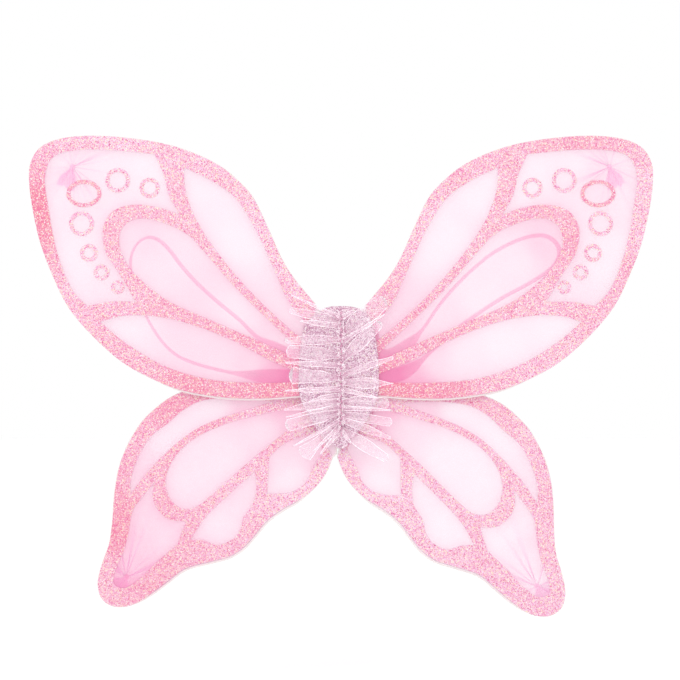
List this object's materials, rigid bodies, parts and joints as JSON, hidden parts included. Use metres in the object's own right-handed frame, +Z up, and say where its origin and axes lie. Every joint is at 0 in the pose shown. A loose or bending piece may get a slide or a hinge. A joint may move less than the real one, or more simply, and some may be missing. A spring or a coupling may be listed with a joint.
{
  "type": "costume wings",
  "caption": "Butterfly costume wings: wire hoops in sheer mesh with a glitter print, a ruffled centre panel and elastic arm loops.",
  "frame": {"origin": "middle of the back pad's rear face, where it lies against the wearer's back", "axes": "+Z up, +Y towards the wearer's back, +X along the span; the display side faces -Y"},
  "size_m": [0.4994, 0.0255, 0.3856],
  "materials": {
    "wire": "white coated soft steel wire",
    "sleeve": "sheer pale pink nylon mesh",
    "print": "flocked pink glitter",
    "panel": "silver grey glitter cloth",
    "pad": "pale pink felt",
    "tulle": "sheer pink tulle with fine glitter",
    "thread": "pink sewing thread",
    "tape": "white binding tape",
    "elastic": "flat pink elastic webbing"
  },
  "bodies": {
    "centre": {"back_pad": "pad", "front_panel": "panel", "top_seam_tape": "pad", "upper_binding_tape": "tape", "middle_binding_tape": "tape", "lower_binding_tape": "tape", "ruffle_left": "tulle", "ruffle_right": "tulle", "gather_thread": "thread", "upper_left_wire_root": "wire", "lower_left_wire_root": "wire", "left_strap_upper_tab": "elastic", "left_strap_lower_tab": "elastic", "upper_right_wire_root": "wire", "lower_right_wire_root": "wire", "right_strap_upper_tab": "elastic", "right_strap_lower_tab": "elastic"},
    "upper_left_wing": {"upper_left_wire": "wire", "upper_left_mesh": "sleeve", "upper_left_print": "print", "upper_left_tip_knot": "thread", "upper_left_ring_1": "print", "upper_left_ring_2": "print", "upper_left_ring_3": "print", "upper_left_ring_4": "print", "upper_left_ring_5": "print", "upper_left_ring_6": "print", "upper_left_ring_7": "print"},
    "lower_left_wing": {"lower_left_wire": "wire", "lower_left_mesh": "sleeve", "lower_left_print": "print", "lower_left_tip_knot": "thread"},
    "left_strap": {"left_arm_loop": "elastic"},
    "upper_right_wing": {"upper_right_wire": "wire", "upper_right_mesh": "sleeve", "upper_right_print": "print", "upper_right_tip_knot": "thread", "upper_right_ring_1": "print", "upper_right_ring_2": "print", "upper_right_ring_3": "print", "upper_right_ring_4": "print", "upper_right_ring_5": "print", "upper_right_ring_6": "print", "upper_right_ring_7": "print"},
    "lower_right_wing": {"lower_right_wire": "wire", "lower_right_mesh": "sleeve", "lower_right_print": "print", "lower_right_tip_knot": "thread"},
    "right_strap": {"right_arm_loop": "elastic"}
  },
  "joints": [
    {"name": "upper_left_fold", "type": "hinge", "parent": "centre", "child": "upper_left_wing", "pos_m": [-0.0375, -0.0117, 0], "axis": [0, 0, 1], "range_deg": [0, 70], "deforming": ["ruffle_left"]},
    {"name": "lower_left_fold", "type": "hinge", "parent": "centre", "child": "lower_left_wing", "pos_m": [-0.042, -0.0065, -0.014], "axis": [-0.5193, 0, 0.8546], "range_deg": [0, 70]},
    {"name": "upper_right_fold", "type": "hinge", "parent": "centre", "child": "upper_right_wing", "pos_m": [0.0375, -0.0117, 0], "axis": [0, 0, -1], "range_deg": [0, 70], "deforming": ["ruffle_right"]},
    {"name": "lower_right_fold", "type": "hinge", "parent": "centre", "child": "lower_right_wing", "pos_m": [0.042, -0.0065, -0.014], "axis": [-0.6135, 0, -0.7897], "range_deg": [0, 70]},
    {"name": "left_strap_swing", "type": "hinge", "parent": "centre", "child": "left_strap", "pos_m": [-0.0352, -0.0038, 0.013], "axis": [0, 0, -1], "range_deg": [0, 85]},
    {"name": "right_strap_swing", "type": "hinge", "parent": "centre", "child": "right_strap", "pos_m": [0.0352, -0.0038, 0.013], "axis": [0, 0, 1], "range_deg": [0, 85]}
  ],
  "couplings": [
    {"joint": "lower_left_fold", "follows": "upper_left_fold", "ratio": 1},
    {"joint": "lower_right_fold", "follows": "upper_right_fold", "ratio": 1}
  ]
}
